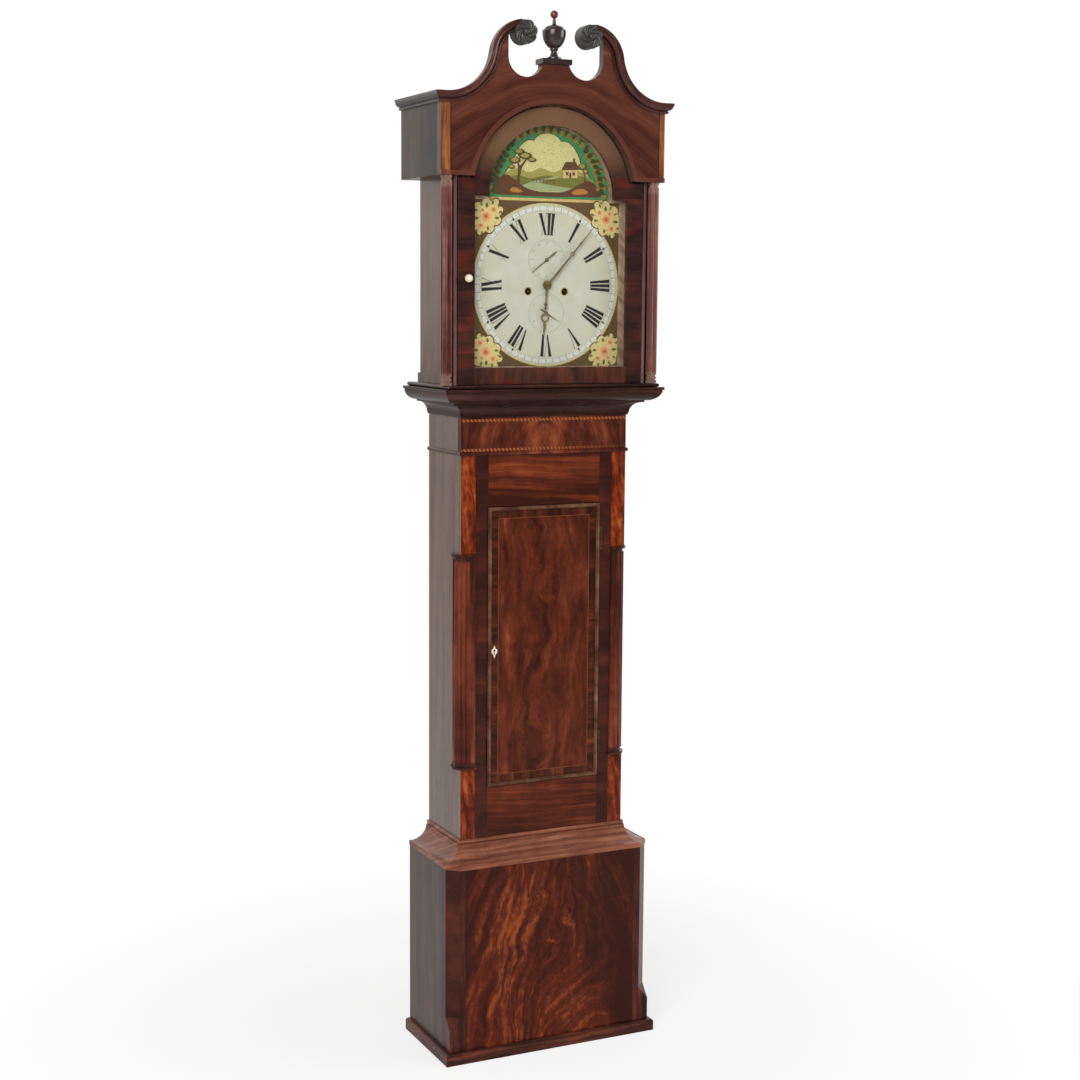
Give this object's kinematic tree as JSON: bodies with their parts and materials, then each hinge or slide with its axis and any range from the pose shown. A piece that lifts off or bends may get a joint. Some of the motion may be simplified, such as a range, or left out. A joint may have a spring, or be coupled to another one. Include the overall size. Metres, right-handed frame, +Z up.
{
  "type": "longcase clock",
  "caption": "Free-standing longcase clock with a swan-neck hood, arched painted dial, opening doors and a geared weight-driven movement with a long pendulum.",
  "frame": {"origin": "middle of the footprint, on the floor", "axes": "+X to the right seen from the front, -Y towards the front, +Z up"},
  "size_m": [0.556, 0.244, 2.2603],
  "materials": {
    "mahogany": "polished dark mahogany",
    "mahogany_side": "polished mahogany sides",
    "light_veneer": "polished figured light veneer",
    "pine": "plain waxed softwood",
    "dark_carving": "ebonised carving",
    "mask_wood": "painted moulding",
    "painted_iron": "painted dial",
    "clear_glass": "clear",
    "brass": "satin",
    "gilt_brass": "dull gilt",
    "bell_metal": "turned",
    "steel": "polished",
    "iron": "dark",
    "gut": "natural gut",
    "bone": "polished bone"
  },
  "bodies": {
    "case": {"backboard": "pine", "plinth_panels": "mahogany", "plinth_corner_posts": "light_veneer", "plinth_skirting": "mahogany", "plinth_floor": "pine", "plinth_top_moulding": "mahogany", "trunk_sides": "mahogany_side", "trunk_front_frame": "mahogany", "trunk_corner_blocks": "light_veneer", "trunk_corner_columns": "mahogany", "trunk_frieze": "mahogany", "hood_support_moulding": "mahogany", "seat_board": "pine", "trunk_hinge_leaves": "brass", "dial_plate": "painted_iron", "movement_plates": "brass", "movement_pillars": "brass", "bell": "bell_metal", "going_line": "gut", "strike_line": "gut"},
    "trunk_door": {"trunk_door_panel": "mahogany", "trunk_door_moulding": "mahogany", "trunk_door_hinges": "brass", "trunk_door_lock": "bone"},
    "hood": {"hood_sides": "mahogany_side", "hood_base_frame": "mahogany", "hood_columns": "mahogany", "hood_pediment": "mahogany", "hood_roof": "pine", "hood_cornice": "mahogany", "swan_neck_mouldings": "mahogany", "rosettes": "dark_carving", "finial": "dark_carving", "dial_mask": "mask_wood"},
    "hood_door": {"hood_door_frame": "mahogany", "hood_door_glass": "clear_glass", "hood_door_knob": "bone", "hood_door_hinges": "brass"},
    "centre_arbor": {"centre_wheel": "brass", "minute_hand": "gilt_brass"},
    "hour_pipe": {"hour_wheel": "brass", "hour_hand": "gilt_brass"},
    "minute_wheel_arbor": {"minute_wheel": "brass"},
    "great_wheel": {"going_great_wheel": "brass"},
    "going_barrel_arbor": {"going_barrel": "brass"},
    "third_arbor": {"third_wheel": "brass"},
    "escape_arbor": {"escape_wheel": "brass", "seconds_hand": "gilt_brass"},
    "pallet_arbor": {"anchor_pallets": "steel"},
    "pendulum_bob_and_rod": {"pendulum": "brass"},
    "going_weight_and_pulley": {"going_weight": "iron"},
    "strike_weight_and_pulley": {"strike_weight": "iron"},
    "date_arbor": {"date_hand": "gilt_brass"},
    "strike_great_arbor": {"strike_great_wheel": "brass"},
    "strike_barrel_arbor": {"strike_barrel": "brass"},
    "pin_wheel_arbor": {"pin_wheel": "brass"},
    "pallet_wheel_arbor": {"pallet_wheel": "brass"},
    "warning_arbor": {"warning_wheel": "brass"},
    "fly_arbor": {"fly": "brass"},
    "hammer_arbor": {"hammer": "steel"}
  },
  "joints": [
    {"name": "trunk_door_swing", "type": "hinge", "parent": "case", "child": "trunk_door", "pos_m": [0.1382, -0.0612, 0.8983], "axis": [0, 0, 1], "range_deg": [0, 110]},
    {"name": "hood_slide", "type": "slide", "parent": "case", "child": "hood", "axis": [0, -1, 0], "range_m": [0, 0.3]},
    {"name": "hood_door_swing", "type": "hinge", "parent": "hood", "child": "hood_door", "pos_m": [0.2145, -0.084, 1.6893], "axis": [0, 0, 1], "range_deg": [0, 95]},
    {"name": "centre_turn", "type": "hinge", "parent": "case", "child": "centre_arbor", "pos_m": [0, -0.001, 1.6893], "axis": [0, 1, 0], "continuous": true},
    {"name": "hour_turn", "type": "hinge", "parent": "case", "child": "hour_pipe", "pos_m": [0, -0.042, 1.6893], "axis": [0, 1, 0], "continuous": true},
    {"name": "minute_wheel_turn", "type": "hinge", "parent": "case", "child": "minute_wheel_arbor", "pos_m": [0, -0.042, 1.6613], "axis": [0, 1, 0], "continuous": true},
    {"name": "great_turn", "type": "hinge", "parent": "case", "child": "great_wheel", "pos_m": [0.0435, -0.001, 1.6758], "axis": [0, 1, 0], "continuous": true},
    {"name": "third_turn", "type": "hinge", "parent": "case", "child": "third_arbor", "pos_m": [0.01873, -0.001, 1.71768], "axis": [0, 1, 0], "continuous": true},
    {"name": "escape_turn", "type": "hinge", "parent": "case", "child": "escape_arbor", "pos_m": [0, -0.001, 1.743], "axis": [0, 1, 0], "continuous": true},
    {"name": "pendulum_swing", "type": "hinge", "parent": "case", "child": "pendulum_bob_and_rod", "pos_m": [0, 0.056, 1.7725], "axis": [0, 1, 0], "range_deg": [-3, 3]},
    {"name": "pallet_rock", "type": "hinge", "parent": "case", "child": "pallet_arbor", "pos_m": [0, -0.001, 1.7725], "axis": [0, 1, 0], "range_deg": [-3, 3]},
    {"name": "going_weight_drop", "type": "slide", "parent": "case", "child": "going_weight_and_pulley", "axis": [0, 0, 1], "range_m": [-0.88, 0.34], "deforming": ["going_line"]},
    {"name": "going_barrel_turn", "type": "hinge", "parent": "case", "child": "going_barrel_arbor", "pos_m": [0.0435, -0.001, 1.6758], "axis": [0, 1, 0], "range_deg": [-4404.5, 1702.4]},
    {"name": "strike_weight_drop", "type": "slide", "parent": "case", "child": "strike_weight_and_pulley", "axis": [0, 0, 1], "range_m": [-0.88, 0.34], "deforming": ["strike_line"]},
    {"name": "strike_barrel_turn", "type": "hinge", "parent": "case", "child": "strike_barrel_arbor", "pos_m": [-0.0435, -0.001, 1.6758], "axis": [0, 1, 0], "range_deg": [-4404.5, 1702.4]},
    {"name": "date_turn", "type": "hinge", "parent": "case", "child": "date_arbor", "pos_m": [0, -0.0565, 1.6291], "axis": [0, 1, 0], "continuous": true},
    {"name": "warning_turn", "type": "hinge", "parent": "case", "child": "warning_arbor", "pos_m": [-0.05007, -0.001, 1.76061], "axis": [0, 1, 0], "continuous": true},
    {"name": "fly_turn", "type": "hinge", "parent": "case", "child": "fly_arbor", "pos_m": [-0.03803, -0.001, 1.77781], "axis": [0, 1, 0], "continuous": true},
    {"name": "pallet_wheel_turn", "type": "hinge", "parent": "case", "child": "pallet_wheel_arbor", "pos_m": [-0.02995, -0.001, 1.74544], "axis": [0, 1, 0], "continuous": true},
    {"name": "pin_wheel_turn", "type": "hinge", "parent": "case", "child": "pin_wheel_arbor", "pos_m": [-0.03787, -0.001, 1.71589], "axis": [0, 1, 0], "continuous": true},
    {"name": "strike_great_turn", "type": "hinge", "parent": "case", "child": "strike_great_arbor", "pos_m": [-0.0435, -0.001, 1.6758], "axis": [0, 1, 0], "continuous": true},
    {"name": "hammer_lift", "type": "hinge", "parent": "case", "child": "hammer_arbor", "pos_m": [-0.072, -0.001, 1.7553], "axis": [0, -1, 0], "range_deg": [0, 12], "stiffness_Nm_per_rad": 0.05, "springref_deg": -11.46}
  ],
  "couplings": [
    {"joint": "hour_turn", "follows": "centre_turn", "ratio": 0.083333},
    {"joint": "minute_wheel_turn", "follows": "centre_turn", "ratio": -0.5},
    {"joint": "great_turn", "follows": "centre_turn", "ratio": -0.083333},
    {"joint": "third_turn", "follows": "centre_turn", "ratio": -7.5},
    {"joint": "escape_turn", "follows": "centre_turn", "ratio": 60},
    {"joint": "pallet_rock", "follows": "pendulum_swing", "ratio": 1},
    {"joint": "going_barrel_turn", "follows": "going_weight_drop", "rad_per_m": 87.336},
    {"joint": "strike_barrel_turn", "follows": "strike_weight_drop", "rad_per_m": 87.336},
    {"joint": "fly_turn", "follows": "warning_turn", "ratio": -7},
    {"joint": "pallet_wheel_turn", "follows": "warning_turn", "ratio": -0.125},
    {"joint": "pin_wheel_turn", "follows": "warning_turn", "ratio": 0.015625},
    {"joint": "strike_great_turn", "follows": "warning_turn", "ratio": -0.0014881}
  ]
}
